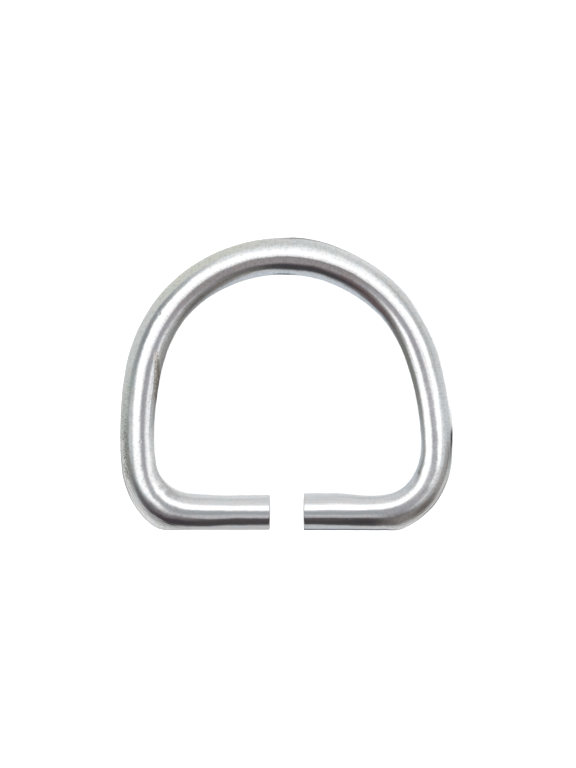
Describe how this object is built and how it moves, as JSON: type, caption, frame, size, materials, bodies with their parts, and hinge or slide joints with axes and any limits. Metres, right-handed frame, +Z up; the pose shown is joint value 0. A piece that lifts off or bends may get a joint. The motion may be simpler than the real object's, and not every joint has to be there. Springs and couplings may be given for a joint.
{
  "type": "d ring",
  "caption": "Open D ring bent from round plated steel wire, with a narrow gap in its straight bar, for joining webbing to a clip.",
  "frame": {"origin": "middle of the ring's outline, at the level of its underside, where it lies on a surface", "axes": "+X along the straight bar, +Y from the bar to the crown of the bow, +Z up through the ring's opening"},
  "size_m": [0.0318, 0.0276, 0.0034],
  "materials": {
    "plated_wire": "bright nickel plate over drawn steel wire, with fine drawing lines along the wire"
  },
  "bodies": {
    "root": {"wire_ring": "plated_wire"}
  },
  "joints": []
}
